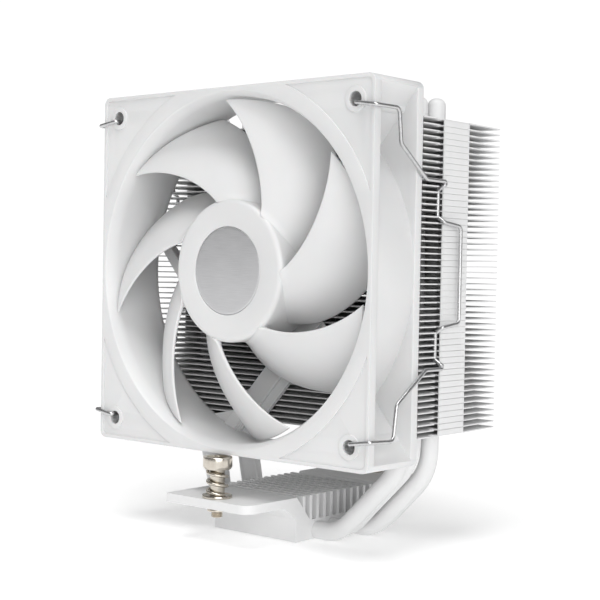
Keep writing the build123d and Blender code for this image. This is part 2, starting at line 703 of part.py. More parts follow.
# --------------------------------------------------------------- fan clips
CY = FAN_Y
CZ = FAN_Z
CLIP_POINTS = [
    (53.2, CY + 3.2, CZ + 51.4), (53.2, CY - 0.95, CZ + 51.4), (61.3, CY - 0.95, CZ + 50.2),
    (61.3, CY + 10.5, CZ + 50.3), (61.3, CY + 11.8, CZ + 39.6), (61.3, CY + 25.5, CZ + 29.7),
    (61.3, CY + 38.0, CZ + 29.6), (61.3, CY + 35.5, CZ + 28.4), (58.75, CY + 35.5, CZ + 26.8),
    (58.75, CY + 35.5, CZ + 18.4), (61.3, CY + 35.9, CZ + 16.6), (62.0, CY + 44.0, CZ + 15.5),
    (62.0, CY + 44.0, CZ - 15.5), (61.3, CY + 35.9, CZ - 16.8), (58.75, CY + 35.5, CZ - 18.6),
    (58.75, CY + 35.5, CZ - 27.0), (61.3, CY + 35.5, CZ - 28.6), (61.3, CY + 38.4, CZ - 29.9),
    (61.3, CY + 26.9, CZ - 29.9), (61.3, CY + 12.2, CZ - 39.8), (61.3, CY + 10.6, CZ - 50.8),
    (61.3, CY - 0.95, CZ - 50.2), (53.2, CY - 0.95, CZ - 51.4), (53.2, CY + 3.2, CZ - 51.4),
]
CLIP_RADII = [
    0.9, 0.9, 2.0, 2.0, 2.0, 0.66, 0.8, 0.8, 0.8, 0.9, 1.6, 1.6, 0.9, 0.8, 0.8, 0.8, 0.66, 2.0,
    2.0, 2.0, 0.9, 0.9,
]
with BuildPart() as fan_clip_right:
    with BuildLine():
        rounded_path(CLIP_POINTS, CLIP_RADII)
    with BuildSketch(Plane(origin=CLIP_POINTS[0], z_dir=(0, -1, 0))):
        Circle(WIRE_R)
    sweep()
fan_clip_right.part.label = "fan_clip_right"
export_step(fan_clip_right.part, "parts/fan_clip_right.step")

with BuildPart() as fan_clip_left:
    add(fan_clip_right.part.mirror(Plane.YZ))
fan_clip_left.part.label = "fan_clip_left"
export_step(fan_clip_left.part, "parts/fan_clip_left.step")
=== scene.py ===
import json
import math

import bmesh
import bpy
from mathutils import Matrix, Vector


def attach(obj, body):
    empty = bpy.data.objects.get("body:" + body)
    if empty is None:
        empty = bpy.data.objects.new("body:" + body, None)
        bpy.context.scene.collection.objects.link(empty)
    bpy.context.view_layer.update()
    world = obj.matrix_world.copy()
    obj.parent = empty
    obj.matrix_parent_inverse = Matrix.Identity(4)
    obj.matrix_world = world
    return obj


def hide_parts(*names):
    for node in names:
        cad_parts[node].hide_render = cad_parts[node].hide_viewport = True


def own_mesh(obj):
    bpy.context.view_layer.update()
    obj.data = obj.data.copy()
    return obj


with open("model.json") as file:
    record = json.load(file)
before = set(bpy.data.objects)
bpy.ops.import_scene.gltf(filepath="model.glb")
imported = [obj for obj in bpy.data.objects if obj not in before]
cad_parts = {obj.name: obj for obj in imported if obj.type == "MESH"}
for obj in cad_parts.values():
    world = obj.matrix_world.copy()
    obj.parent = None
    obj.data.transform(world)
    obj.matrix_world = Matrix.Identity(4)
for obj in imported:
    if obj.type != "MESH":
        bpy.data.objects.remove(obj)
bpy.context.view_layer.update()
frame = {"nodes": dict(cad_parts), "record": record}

MM = 0.001
FY = -39.0      # front face of the fan, mm
FZ = 88.9       # height of the fan's centre, mm
pi = math.pi
scene = bpy.context.scene


# ------------------------------------------------------------------ materials
def socket(node, *names):
    for n in names:
        if n in node.inputs:
            return node.inputs[n]
    raise KeyError(names)


def material(name, light, dark, rough, rough_span=0.05, metallic=0.0, specular=0.5,
             patch=120.0, grain=6000.0, grain_depth=0.00004, grain_strength=0.25,
             stretch=None, anisotropic=0.0, coat=0.0, coat_rough=0.1, subsurface=0.0,
             second=None):
    """A principled surface whose colour drifts softly, with its own grain in bump and roughness."""
    m = bpy.data.materials.new(name)
    m.use_nodes = True
    nt = m.node_tree
    nt.nodes.clear()
    out = nt.nodes.new("ShaderNodeOutputMaterial")
    p = nt.nodes.new("ShaderNodeBsdfPrincipled")
    nt.links.new(p.outputs["BSDF"], out.inputs["Surface"])
    tc = nt.nodes.new("ShaderNodeTexCoord")
    soft = nt.nodes.new("ShaderNodeTexNoise")
    soft.inputs["Scale"].default_value = patch
    soft.inputs["Detail"].default_value = 3.0
    nt.links.new(tc.outputs["Object"], soft.inputs["Vector"])
    ramp = nt.nodes.new("ShaderNodeValToRGB")
    ramp.color_ramp.elements[0].position = 0.3
    ramp.color_ramp.elements[1].position = 0.7
    ramp.color_ramp.elements[0].color = (*dark, 1)
    ramp.color_ramp.elements[1].color = (*light, 1)
    nt.links.new(soft.outputs["Fac"], ramp.inputs["Fac"])
    grain_vector = tc.outputs["Object"]
    if stretch:
        mp = nt.nodes.new("ShaderNodeMapping")
        mp.inputs["Scale"].default_value = stretch
        nt.links.new(grain_vector, mp.inputs["Vector"])
        grain_vector = mp.outputs["Vector"]
    fine = nt.nodes.new("ShaderNodeTexNoise")
    fine.inputs["Scale"].default_value = grain
    fine.inputs["Detail"].default_value = 4.0
    fine.inputs["Roughness"].default_value = 0.6
    nt.links.new(grain_vector, fine.inputs["Vector"])
    colour = ramp.outputs["Color"]
    if second is not None:
        # the fine grain also shades the colour, as on brushed metal
        mix = nt.nodes.new("ShaderNodeMix")
        mix.data_type = "RGBA"
        mix.blend_type = "MULTIPLY"
        mix.inputs["Factor"].default_value = 1.0
        lines = nt.nodes.new("ShaderNodeValToRGB")
        lines.color_ramp.elements[0].position = 0.35
        lines.color_ramp.elements[1].position = 0.65
        lines.color_ramp.elements[0].color = (second, second, second, 1)
        lines.color_ramp.elements[1].color = (1, 1, 1, 1)
        nt.links.new(fine.outputs["Fac"], lines.inputs["Fac"])
        nt.links.new(colour, mix.inputs["A"])
        nt.links.new(lines.outputs["Color"], mix.inputs["B"])
        colour = mix.outputs["Result"]
    nt.links.new(colour, p.inputs["Base Color"])
    span = nt.nodes.new("ShaderNodeMapRange")
    span.inputs["From Min"].default_value = 0.3
    span.inputs["From Max"].default_value = 0.7
    span.inputs["To Min"].default_value = rough - rough_span
    span.inputs["To Max"].default_value = rough + rough_span
    nt.links.new(fine.outputs["Fac"], span.inputs["Value"])
    nt.links.new(span.outputs["Result"], p.inputs["Roughness"])
    bump = nt.nodes.new("ShaderNodeBump")
    bump.inputs["Strength"].default_value = grain_strength
    bump.inputs["Distance"].default_value = grain_depth
    nt.links.new(fine.outputs["Fac"], bump.inputs["Height"])
    nt.links.new(bump.outputs["Normal"], p.inputs["Normal"])
    p.inputs["Metallic"].default_value = metallic
    socket(p, "Specular IOR Level", "Specular").default_value = specular
    if anisotropic:
        p.inputs["Anisotropic"].default_value = anisotropic
    if coat:
        socket(p, "Coat Weight", "Coat").default_value = coat
        socket(p, "Coat Roughness").default_value = coat_rough
    if subsurface:
        socket(p, "Subsurface Weight", "Subsurface").default_value = subsurface
        socket(p, "Subsurface Scale").default_value = 0.0006
    return m


M = {
    "white_plastic": material("white_plastic", (0.735, 0.735, 0.735), (0.705, 0.707, 0.71), 0.40, 0.05,
                              specular=0.45, patch=60, grain=5200, grain_depth=0.00005,
                              grain_strength=0.22, subsurface=0.04),
    "white_coat": material("white_coat", (0.765, 0.765, 0.765), (0.735, 0.737, 0.74), 0.46, 0.06,
                           specular=0.5, patch=90, grain=2300, grain_depth=0.00006,
                           grain_strength=0.20),
    "badge_metal": material("badge_metal", (0.74, 0.74, 0.75), (0.69, 0.69, 0.70), 0.50, 0.08,
                            metallic=1.0, patch=50, grain=1.0, grain_depth=0.00003,
                            grain_strength=0.35, stretch=(160, 160, 9000), anisotropic=0.55,
                            second=0.86),
    "nickel": material("nickel", (0.66, 0.62, 0.55), (0.58, 0.53, 0.46), 0.20, 0.05, metallic=1.0,
                       patch=500, grain=1.0, grain_depth=0.00002, grain_strength=0.25,
                       stretch=(900, 900, 9000), second=0.93),
    "spring_wire": material("spring_wire", (0.62, 0.62, 0.62), (0.52, 0.52, 0.53), 0.27, 0.06,
                            metallic=1.0, patch=300, grain=4200, grain_depth=0.00002,
                            grain_strength=0.2),
    "steel": material("steel", (0.58, 0.58, 0.59), (0.50, 0.50, 0.52), 0.35, 0.08, metallic=1.0,
                      patch=250, grain=4500, grain_depth=0.00003, grain_strength=0.3),
    "ferrite": material("ferrite", (0.060, 0.060, 0.065), (0.040, 0.040, 0.045), 0.62, 0.08,
                        patch=400, grain=3500, grain_depth=0.00008, grain_strength=0.5),
    "brass_tube": material("brass_tube", (0.78, 0.60, 0.30), (0.68, 0.50, 0.22), 0.28, 0.06,
                           metallic=1.0, patch=300, grain=1.0, stretch=(2500, 60, 2500),
                           grain_depth=0.00002, grain_strength=0.3),
    "bronze": material("bronze", (0.58, 0.38, 0.20), (0.46, 0.29, 0.14), 0.48, 0.08, metallic=1.0,
                       patch=600, grain=5200, grain_depth=0.00008, grain_strength=0.5),
    "nylon": material("nylon", (0.82, 0.79, 0.70), (0.76, 0.73, 0.64), 0.45, 0.05, patch=200,
                      grain=4000, subsurface=0.08),
    "copper_wire": material("copper_wire", (0.72, 0.30, 0.14), (0.55, 0.20, 0.08), 0.28, 0.05,
                            metallic=1.0, patch=350, grain=1.0, stretch=(5500, 5500, 5500),
                            grain_depth=0.0001, grain_strength=0.8, coat=0.6, coat_rough=0.12),
    "circuit_board": material("circuit_board", (0.03, 0.20, 0.09), (0.02, 0.14, 0.06), 0.34, 0.08,
                              patch=700, grain=1800, grain_depth=0.00008, grain_strength=0.5),
    "label_film": material("label_film", (0.84, 0.84, 0.84), (0.78, 0.78, 0.79), 0.25, 0.04,
                           patch=80, grain=2500, grain_depth=0.00002, grain_strength=0.15),
}


# --------------------------------------------------------------------- meshes
class Shape:
    """Collects vertices in mm and faces, then becomes one mesh object in metres."""

    def __init__(self):
        self.v = []
        self.f = []

    def add(self, verts, faces):
        n = len(self.v)
        self.v.extend(verts)
        self.f.extend([tuple(i + n for i in f) for f in faces])

    def lathe(self, profile, centre, axis, segs=160, closed=True):
        """Turns (radius, along) points about an axis through centre. axis is 'y' or 'z'."""
        n = len(profile)
        verts = []
        for k in range(segs):
            a = 2 * pi * k / segs
            for r, t in profile:
                if axis == "y":
                    verts.append((centre[0] + r * math.cos(a), centre[1] + t, centre[2] + r * math.sin(a)))
                else:
                    verts.append((centre[0] + r * math.cos(a), centre[1] + r * math.sin(a), centre[2] + t))
        faces = []
        last = n if closed else n - 1
        for k in range(segs):
            k2 = (k + 1) % segs
            for i in range(last):
                j = (i + 1) % n
                faces.append((k * n + i, k2 * n + i, k2 * n + j, k * n + j))
        self.add(verts, faces)

    def tube(self, path, radius, sides=20, start=None, end=None, floor=None):
        """A round bar along the points; start and end are lists of (step along, radius) for its tips."""
        pts = [Vector(p) for p in path]
        tang = []
        for i in range(len(pts)):
            a = pts[max(i - 1, 0)]
            b = pts[min(i + 1, len(pts) - 1)]
            tang.append((b - a).normalized())
        rings = []
        up = Vector((0, 0, 1)) if abs(tang[0].z) < 0.9 else Vector((0, 1, 0))
        nrm = (up - tang[0] * up.dot(tang[0])).normalized()
        for i, p in enumerate(pts):
            nrm = (nrm - tang[i] * nrm.dot(tang[i])).normalized()
            rings.append((p, nrm.copy(), tang[i].cross(nrm), radius))
        if start:
            p, n1, n2, _ = rings[0]
            rings = [(p - tang[0] * s, n1, n2, r) for s, r in start] + rings
        if end:
            p, n1, n2, _ = rings[-1]
            rings = rings + [(p + tang[-1] * s, n1, n2, r) for s, r in end]
        verts, faces = [], []
        for p, n1, n2, r in rings:
            for k in range(sides):
                a = 2 * pi * k / sides
                q = p + n1 * (math.cos(a) * r) + n2 * (math.sin(a) * r)
                if floor is not None and q.z < floor:
                    q.z = floor
                verts.append(tuple(q))
        for i in range(len(rings) - 1):
            for k in range(sides):
                k2 = (k + 1) % sides
                faces.append((i * sides + k, i * sides + k2, (i + 1) * sides + k2, (i + 1) * sides + k))
        faces.append(tuple(range(sides - 1, -1, -1)))
        faces.append(tuple((len(rings) - 1) * sides + k for k in range(sides)))
        self.add(verts, faces)

    def make(self, name, mat, body, nodes=(), sharp=35):
        me = bpy.data.meshes.new(name)
        me.from_pydata([(x * MM, y * MM, z * MM) for x, y, z in self.v], [], self.f)
        me.validate()
        bm = bmesh.new()
        bm.from_mesh(me)
        bmesh.ops.recalc_face_normals(bm, faces=bm.faces)
        bm.to_mesh(me)
        bm.free()
        me.polygons.foreach_set("use_smooth", [True] * len(me.polygons))
        me.set_sharp_from_angle(angle=math.radians(sharp))
        me.materials.append(M[mat])
        me.update()
        ob = bpy.data.objects.new(name, me)
        scene.collection.objects.link(ob)
        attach(ob, body)
        if nodes:
            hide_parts(*nodes)
        return ob


FAN_TURN = Matrix(((1, 0, 0), (0, 0, -1), (0, 1, 0)))      # drawing (x, y, out) to (X, Z) with out = -Y
SIDE_TURN = Matrix(((0, 0, 1), (1, 0, 0), (0, 1, 0)))      # drawing (y, z, out) with out = +X
FLAT_TURN = Matrix(((1, 0, 0), (0, 1, 0), (0, 0, 1)))


def plate(shape, loops, low, high, bevel=0.12, turn=FAN_TURN, origin=(0, FY, FZ), res=2):
    """A flat piece with holes and softened edges. low and high are its two faces along the drawing's depth."""
    cu = bpy.data.curves.new("plate", "CURVE")
    cu.dimensions = "2D"
    cu.fill_mode = "BOTH"
    for loop in loops:
        sp = cu.splines.new("POLY")
        sp.points.add(len(loop) - 1)
        for p, (x, y) in zip(sp.points, loop):
            p.co = (x, y, 0, 1)
        sp.use_cyclic_u = True
    cu.extrude = max((high - low) / 2 - bevel, 0.001)
    cu.bevel_depth = bevel
    cu.bevel_resolution = res
    cu.offset = -bevel
    ob = bpy.data.objects.new("plate", cu)
    scene.collection.objects.link(ob)
    bpy.context.view_layer.update()
    me = bpy.data.meshes.new_from_object(ob.evaluated_get(bpy.context.evaluated_depsgraph_get()))
    mid = (high + low) / 2
    o = Vector(origin)
    verts = [tuple(o + turn @ Vector((v.co.x, v.co.y, v.co.z + mid))) for v in me.vertices]
    faces = [tuple(p.vertices) for p in me.polygons]
    bpy.data.objects.remove(ob)
    bpy.data.curves.remove(cu)
    bpy.data.meshes.remove(me)
    # weld the doubled rims that the curve leaves
    key, remap, kept = {}, [], []
    for v in verts:
        k = (round(v[0], 4), round(v[1], 4), round(v[2], 4))
        if k not in key:
            key[k] = len(kept)
            kept.append(v)
        remap.append(key[k])
    clean = []
    for f in faces:
        g = []
        for i in f:
            if remap[i] not in g:
                g.append(remap[i])
        if len(g) > 2:
            clean.append(tuple(g))
    shape.add(kept, clean)
    return kept, clean


def circle(r, n=96, x=0.0, y=0.0, start=0.0):
    return [(x + r * math.cos(start + 2 * pi * k / n), y + r * math.sin(start + 2 * pi * k / n)) for k in range(n)]


def rounded_rect(w, h, r, n=8, x=0.0, y=0.0):
    pts = []
    for cx, cy, a0 in ((w / 2 - r, h / 2 - r, 0), (-w / 2 + r, h / 2 - r, 90),
                       (-w / 2 + r, -h / 2 + r, 180), (w / 2 - r, -h / 2 + r, 270)):
        for k in range(n + 1):
            a = math.radians(a0 + 90 * k / n)
            pts.append((x + cx + r * math.cos(a), y + cy + r * math.sin(a)))
    return pts


def rounded_path(points, radii, step=12):
    """The points of straight runs joined by arcs; step is the arcs' angle between points, in degrees."""
    pts = [Vector(p) for p in points]
    out = [pts[0]]
    for i in range(1, len(pts) - 1):
        a = (pts[i - 1] - pts[i]).normalized()
        b = (pts[i + 1] - pts[i]).normalized()
        half = math.acos(max(-1.0, min(1.0, a.dot(b)))) / 2
        r = radii[i - 1]
        if half > pi / 2 - 0.004:
            out.append(pts[i])
            continue
        mid_dir = (a + b).normalized()
        centre = pts[i] + mid_dir * (r / math.sin(half))
        p0 = pts[i] + a * (r / math.tan(half))
        p1 = pts[i] + b * (r / math.tan(half))
        u = (p0 - centre).normalized()
        w = (p1 - centre).normalized()
        turn = math.acos(max(-1.0, min(1.0, u.dot(w))))
        n = max(3, int(math.degrees(turn) / step) + 1)
        for k in range(n + 1):
            t = k / n
            out.append(centre + (u * math.sin((1 - t) * turn) + w * math.sin(t * turn)) * (r / math.sin(turn)))
    out.append(pts[-1])
    return [tuple(p) for p in out]


def local(a_deg, along, across):
    """A point of a strut's drawing: along its direction and across it, about the fan's axis."""
    a = math.radians(a_deg)
    return (along * math.cos(a) - across * math.sin(a), along * math.sin(a) + across * math.cos(a))


def strut(a_deg, inner, off0, off1, outer=58.2):
    return [local(a_deg, inner, off0), local(a_deg, math.sqrt(outer ** 2 - off0 ** 2), off0),
            local(a_deg, math.sqrt(outer ** 2 - off1 ** 2), off1), local(a_deg, inner, off1)]


def hooked_strut(turn, width=4.2):
    """A plain strut: straight in from the duct, then hooked round to the motor base."""
    u = (math.cos(math.radians(129.9)), math.sin(math.radians(129.9)))
    sides = []
    for r in (30.4 + width / 2, 30.4 - width / 2):
        arc = []
        for k in range(17):
            a = math.radians(219.9 + 66.0 * k / 16)
            arc.append((-21.3 + r * math.cos(a), 20.3 + r * math.sin(a)))
        x, y = arc[0]
        b = x * u[0] + y * u[1]
        t = -b + math.sqrt(b * b - (x * x + y * y - 58.3 ** 2))
        sides.append([(x + t * u[0], y + t * u[1])] + arc)
    c, s = math.cos(math.radians(turn)), math.sin(math.radians(turn))
    return [(x * c - y * s, x * s + y * c) for x, y in sides[0] + sides[1][::-1]]


# ------------------------------------------------------------------ fan frame
shell = Shape()
HOLES = [(sx * 52.5, sy * 52.5) for sx in (-1, 1) for sy in (-1, 1)]
outer = rounded_rect(120, 120, 2.5, 10)
# depths are given out of the front face, so they are negative behind it
plate(shell, [outer, circle(59.2, 220)] + [circle(2.3, 40, x, y) for x, y in HOLES], -3.2, -0.4, 0.2)
panels = []
edge, cr, pr = 58.75, 1.75, 63.7
a0 = math.acos(edge / pr)
for q in range(4):
    pts = [(edge, math.sqrt(pr ** 2 - edge ** 2))]
    for k in range(9):
        a = pi / 2 * k / 8
        pts.append((edge - cr + cr * math.cos(a), edge - cr + cr * math.sin(a)))
    pts.append((math.sqrt(pr ** 2 - edge ** 2), edge))
    for k in range(1, 30):
        a = (pi / 2 - a0) + (2 * a0 - pi / 2) * k / 30
        pts.append((pr * math.cos(a), pr * math.sin(a)))
    c, s = math.cos(q * pi / 2), math.sin(q * pi / 2)
    panels.append([(x * c - y * s, x * s + y * c) for x, y in pts])
plate(shell, [outer, circle(59.0, 220)] + panels, -0.55, 0.0, 0.13)
for x, y in HOLES:
    plate(shell, [circle(3.95, 56, x, y), circle(2.3, 40, x, y)], -0.6, 0.0, 0.13)
plate(shell, [outer, circle(58.6, 220)] + [circle(2.3, 40, x, y) for x, y in HOLES], -25.0, -21.8, 0.25)
mouth = [(59.3, 0.5), (59.1, 0.02), (58.8, 0.0), (58.55, 0.06), (58.38, 0.22)]
for k in range(1, 11):
    t = k / 10
    mouth.append((58.38 - 1.58 * math.sin(t * pi / 2) ** 0.9, 0.22 + 4.9 * t))
mouth += [(56.8, 12.0), (56.8, 22.2), (57.0, 23.4), (57.5, 24.6), (57.75, 24.95), (58.2, 25.0),
          (59.2, 24.9), (59.8, 22.6), (59.8, 12.0), (59.8, 2.4)]
shell.lathe(mouth, (0, FY, FZ), "y", segs=240)
for x, y in HOLES:
    shell.lathe([(2.95, 3.1), (2.95, 21.9), (2.3, 21.9), (2.3, 3.1)], (x, FY, FZ + y), "y", segs=48)
wedge = [(44.6, 38.7), (38.7, 44.6)] + [
    (57.51 + 2.5 * math.cos(a), 57.51 + 2.5 * math.sin(a))
    for a in [math.radians(83.5 - 77.0 * k / 10) for k in range(11)]]
for q in range(4):
    c, s = math.cos(q * pi / 2), math.sin(q * pi / 2)
    plate(shell, [[(x * c - y * s, x * s + y * c) for x, y in wedge[::-1]],
                  circle(2.3, 40, 52.5 * (c - s), 52.5 * (s + c))], -24.6, -0.7, 0.02, res=1)
# motor base, struts and the wide strut with its ribs and cable groove
shell.lathe([(5.25, 22.5), (19.7, 22.4), (19.8, 22.3), (19.8, 21.1), (19.95, 21.0), (20.85, 21.0), (21.0, 21.15),
             (21.0, 24.85), (20.85, 25.0), (18.35, 25.0), (18.2, 24.85), (18.2, 24.55), (18.1, 24.5), (5.25, 24.5)],
            (0, FY, FZ), "y", segs=160)
for turn in (0, -90, 180):
    plate(shell, [hooked_strut(turn)], -24.95, -21.8, 0.35, res=3)
plate(shell, [strut(228, -3.0, 20.7, 27.9)], -23.3, -21.8, 0.3, res=3)
plate(shell, [strut(228, -3.0, 20.9, 31.1)], -23.5, -23.2, 0.1)
plate(shell, [strut(228, -3.0, 20.9, 23.5)], -24.95, -23.3, 0.2)
plate(shell, [strut(228, 0.0, 27.5, 31.1)], -24.95, -23.3, 0.2)
plate(shell, [[(-27.3, -50.9), (-17.0, -48.5), (-14.0, -53.5), (-22.0, -54.0)]], -24.9, -23.2, 0.2)
for k in range(4):
    o = 25.2 + 0.8 * k
    plate(shell, [[local(228, 39.2, o), local(228, 51.7, o), local(228, 51.7, o + 0.42), local(228, 39.2, o + 0.42)]],
          -22.0, -21.45, 0.1)
shell.make("fan_frame_shell", "white_plastic", "fan", ["fan_frame"], sharp=32)


# ------------------------------------------------------------------- impeller
def lead(s):
    return 0.9433 + 0.9297 * s - 0.4113 * s * s + 0.167 * s ** 3


def trail(s):
    return math.radians(93.3 - 86.6 + 55.32 * s + 13.97 * s * s - 16.32 * s ** 3)


rotor = Shape()
rim = [(HUBR, HY) for HUBR, HY in ((14.55, 1.45), (14.55, 0.82), (14.62, 0.72), (14.75, 0.68), (21.5, 0.70))]
for k in range(0, 9):
    a = pi / 2 * k / 8
    rim.append((21.9 + 1.6 * math.sin(a), 0.7 + 1.6 - 1.6 * math.cos(a)))
rim += [(23.5, 10.0), (23.5, 19.3), (23.35, 19.5), (21.95, 19.5), (21.8, 19.35), (21.8, 3.3), (21.0, 2.5),
        (3.4, 2.5), (3.4, 5.8), (3.2, 6.0), (1.51, 6.0), (1.51, 1.45)]
rotor.lathe(rim, (0, FY, FZ), "y", segs=200)
us = [0, 0.002, 0.006, 0.012, 0.02, 0.03, 0.045, 0.08, 0.14, 0.22, 0.3, 0.4, 0.5, 0.6, 0.7, 0.78, 0.86, 0.92, 0.955,
      0.975, 0.985, 0.992, 0.997, 1.0]
rs = [23.0, 23.45, 23.65, 23.9, 24.2, 24.6, 25.1, 25.8, 26.8, 28.2] + [29.8 + (55.7 - 29.8) * k / 22 for k in range(23)] \
    + [55.9, 56.0]


def half_thickness(u, r):
    s = (r - 23.5) / 32.5
    h = 0.5 * (1.55 - 0.55 * s)
    h *= 0.72 + 0.5 * math.sin(pi * min(1.0, u * 0.9 + 0.08)) ** 0.8 if u < 1 else 0.72
    if r < 25.6:
        h += 0.75 * (max(0.0, 25.6 - max(r, 23.5)) / 2.1) ** 2
    if u < 0.03:
        h *= math.sqrt(max(0.0, 1 - ((0.03 - u) / 0.03) ** 2))
    if u > 0.975:
        h *= math.sqrt(max(0.0, 1 - ((u - 0.975) / 0.025) ** 2))
    if r > 55.85:
        h *= 0.82
    return h


section = []
for r in rs:
    s = (r - 23.5) / 32.5
    tl, tt = lead(s), trail(s)
    yl, yt = 1.9 + 0.2 * s + 0.2 * s * s, 14.4 + 5.0 * s

    def at(u):
        return (r * (tl + (tt - tl) * u), yl + (yt - yl) * (0.42 * u + 0.58 * u * u))

    top, bottom = [], []
    for u in us:
        p = at(u)
        e = 0.004
        p1, p2 = at(min(1, u + e)), at(max(0, u - e))
        tx, ty = p1[0] - p2[0], p1[1] - p2[1]
        ln = math.hypot(tx, ty)
        nx, ny = -ty / ln, tx / ln
        h = half_thickness(u, r)
        top.append((p[0] + nx * h, p[1] + ny * h))
        bottom.append((p[0] - nx * h, p[1] - ny * h))
    loop = top + bottom[-2:0:-1]
    section.append([(q[0] / r, q[1], r) for q in loop])
n = len(section[0])
for b in range(7):
    turn = 2 * pi * b / 7
    verts = [(r * math.cos(a + turn), FY + y, FZ + r * math.sin(a + turn)) for row in section for a, y, r in row]
    faces = []
    for i in range(len(section) - 1):
        for k in range(n):
            k2 = (k + 1) % n
            faces.append((i * n + k, i * n + k2, (i + 1) * n + k2, (i + 1) * n + k))
    m = len(us)
    for base in (0, (len(section) - 1) * n):
        for k in range(m - 1):
            t0, t1 = k, k + 1
            b0 = 0 if k == 0 else n - k
            b1 = n - (k + 1) if k + 1 < m - 1 else m - 1
            quad = []
            for i in (t0, t1, b1, b0):
                if base + i not in quad:
                    quad.append(base + i)
            if len(quad) > 2:
                faces.append(tuple(quad))
    rotor.add(verts, faces)
rotor.make("impeller_moulding", "white_plastic", "rotor", ["fan_impeller"], sharp=40)

badge = Shape()
badge.lathe([(0.001, 0.78), (13.7, 0.76), (14.1, 0.80), (14.32, 0.92), (14.4, 1.05), (14.4, 1.34), (0.001, 1.34)],
            (0, FY, FZ), "y", segs=160)
badge.make("hub_badge_disc", "badge_metal", "rotor", ["hub_badge"], sharp=30)

# ------------------------------------------------------------------ fin stack
N, T, Z0, PITCH = 53, 0.4, 37.3, 1.936
RIGHT = ((48.7, -6.5), (47.4, 1.0), (49.6, 8.0), (44.7, 15.0))
LEFT = ((-45.5, 1.2), (-52.0, 13.0), (-42.5, 18.0), (-50.0, 28.6))
TABS = {1: (-2.5, 12.0), -1: (2.3, 16.8)}       # the folded tabs' reach on the right and on the left


def fin_outline(side_in):
    """Outline of one fin; side_in is how far its edge stands back where the folded tab is."""
    pts = []
    for sx in (1, -1):
        t0, t1 = TABS[sx]
        half = [(60.0, -13.7), (60.0, -4.7), (57.6, -4.7), (57.6, -2.3), (60.0, -2.3)]
        if sx == 1:
            half[-1] = (60.0 - side_in, -2.3)
        else:
            half += [(60.0, t0), (60.0 - side_in, t0 + 0.02)]
        half += [(60.0 - side_in, t1), (60.0, t1 + 0.05), (60.0, t1 + 0.6), (58.5, 33.0)]
        half = [(sx * x, y) for x, y in half]
        pts += half if sx == 1 else half[::-1]
    return pts


fins = Shape()
one = Shape()
plate(one, [fin_outline(0.45)] + [circle(3.02, 28, x, y) for x, y in RIGHT + LEFT], 0.0, T, 0.05, turn=FLAT_TURN,
      origin=(0, 0, 0), res=1)
for x, y in RIGHT + LEFT:
    one.lathe([(3.03, 0.3), (3.75, 0.3), (3.5, 0.42), (3.3, 0.65), (3.24, 1.2), (3.03, 1.2)], (x, y, 0), "z", segs=28)
tab = Shape()
for sx in (-1, 1):
    prof = [(59.2, 0.02), (59.72, 0.02), (59.88, 0.07), (59.97, 0.17), (60.0, 0.3), (60.0, 1.86), (59.95, 1.91),
            (59.65, 1.91), (59.6, 1.86), (59.6, 0.42), (59.2, 0.38)]
    m = len(prof)
    verts = [(sx * x, y, z) for y in (TABS[sx][0] + 0.22, TABS[sx][1]) for x, z in prof]
    faces = [(i, (i + 1) % m, m + (i + 1) % m, m + i) for i in range(m)]
    faces += [tuple(range(m - 1, -1, -1)), tuple(range(m, 2 * m))]
    tab.add(verts, faces)
for k in range(N):
    z = Z0 + PITCH * k
    fins.add([(x, y, h + z) for x, y, h in one.v], one.f)
    if k < N - 1:
        fins.add([(x, y, h + z) for x, y, h in tab.v], tab.f)
fins.make("fin_stack_sheets", "white_coat", "heatsink", ["fin_stack"], sharp=30)

# ----------------------------------------------------------------- heat pipes
BASE_Y = (-11.5, -3.8, 3.9, 11.6)
TURN_R, TURN_L = (27.5, 25.4, 30.3, 27.4), (25.5, 31.5, 24.5, 29.5)
RISE = math.tan(math.radians(48))
PZ, TOP = 2.8, 146.6
for i in range(4):
    (xr, yr), (xl, yl), b = RIGHT[i], LEFT[i], BASE_Y[i]
    path = rounded_path(
        [(xr, yr, TOP - 2.5), (xr, yr, PZ + (xr - TURN_R[i]) * RISE), (TURN_R[i], b, PZ), (-TURN_L[i], b, PZ),
         (xl, yl, PZ + (-xl - TURN_L[i]) * RISE), (xl, yl, TOP - 2.5)], [18.0, 12.0, 12.0, 18.0], step=4)
    tip = [(2.5 * math.sin(a), 0.5 + 2.5 * math.cos(a)) for a in [pi / 2 * k / 7 for k in range(1, 7)]]
    tip += [(2.5, 0.35), (2.5, 0.1)]
    pipe = Shape()
    pipe.tube(path, 3.0, sides=32, start=list(reversed(tip)), end=tip, floor=0.0)
    pipe.make("heat_pipe_%d_tube" % (i + 1), "white_coat", "heatsink", ["heat_pipe_%d" % (i + 1)], sharp=45)


# ----------------------------------------------------------------------- base
def soften(node, name, mat, body, width, angle=30, segs=3, dissolve=0.5):
    """A copy of a CAD node with its flat faces made whole and its edges rounded."""
    me = frame["nodes"][node].data.copy()
    bm = bmesh.new()
    bm.from_mesh(me)
    bmesh.ops.remove_doubles(bm, verts=bm.verts, dist=2e-6)
    bmesh.ops.dissolve_limit(bm, angle_limit=math.radians(dissolve), verts=bm.verts, edges=bm.edges)
    new = bpy.data.meshes.new(name)
    bm.to_mesh(new)
    bm.free()
    if "custom_normal" in new.attributes:
        new.attributes.remove(new.attributes["custom_normal"])
    new.materials.clear()
    new.materials.append(M[mat])
    new.polygons.foreach_set("use_smooth", [True] * len(new.polygons))
    ob = bpy.data.objects.new(name, new)
    scene.collection.objects.link(ob)
    mod = ob.modifiers.new("Bevel", "BEVEL")
    mod.limit_method = "ANGLE"
    mod.angle_limit = math.radians(angle)
    mod.width = width * MM
    mod.segments = segs
    mod.use_clamp_overlap = True
    mod.harden_normals = True
    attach(ob, body)
    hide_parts(node)
    return ob


soften("base_block", "base_block_cast", "white_coat", "heatsink", 0.22)


